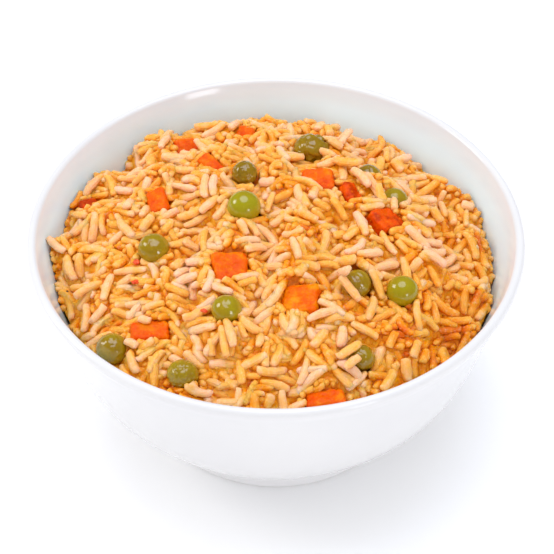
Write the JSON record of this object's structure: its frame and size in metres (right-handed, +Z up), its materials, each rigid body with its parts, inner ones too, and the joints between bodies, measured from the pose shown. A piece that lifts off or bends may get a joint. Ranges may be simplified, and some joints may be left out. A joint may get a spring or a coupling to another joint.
{
  "type": "bowl of rice",
  "caption": "Round footed white porcelain bowl heaped with orange-tinted long-grain rice, green peas and diced carrot.",
  "frame": {"origin": "middle of the bowl's foot, on the surface it stands on", "axes": "+Z up along the bowl's axis; -Y is the side that the pictured view looks from"},
  "size_m": [0.13, 0.13, 0.0703],
  "materials": {
    "porcelain": "gloss",
    "rice": "satin",
    "pea": "gloss",
    "carrot": "satin"
  },
  "bodies": {
    "root": {"bowl": "porcelain", "rice": "rice", "pea_01": "pea", "pea_02": "pea", "pea_03": "pea", "pea_04": "pea", "pea_05": "pea", "pea_06": "pea", "pea_07": "pea", "pea_08": "pea", "pea_09": "pea", "pea_10": "pea", "pea_11": "pea", "pea_12": "pea", "carrot_01": "carrot", "carrot_02": "carrot", "carrot_03": "carrot", "carrot_04": "carrot", "carrot_05": "carrot", "carrot_06": "carrot", "carrot_07": "carrot", "carrot_08": "carrot", "carrot_09": "carrot", "carrot_10": "carrot", "carrot_11": "carrot", "carrot_12": "carrot"}
  },
  "joints": []
}
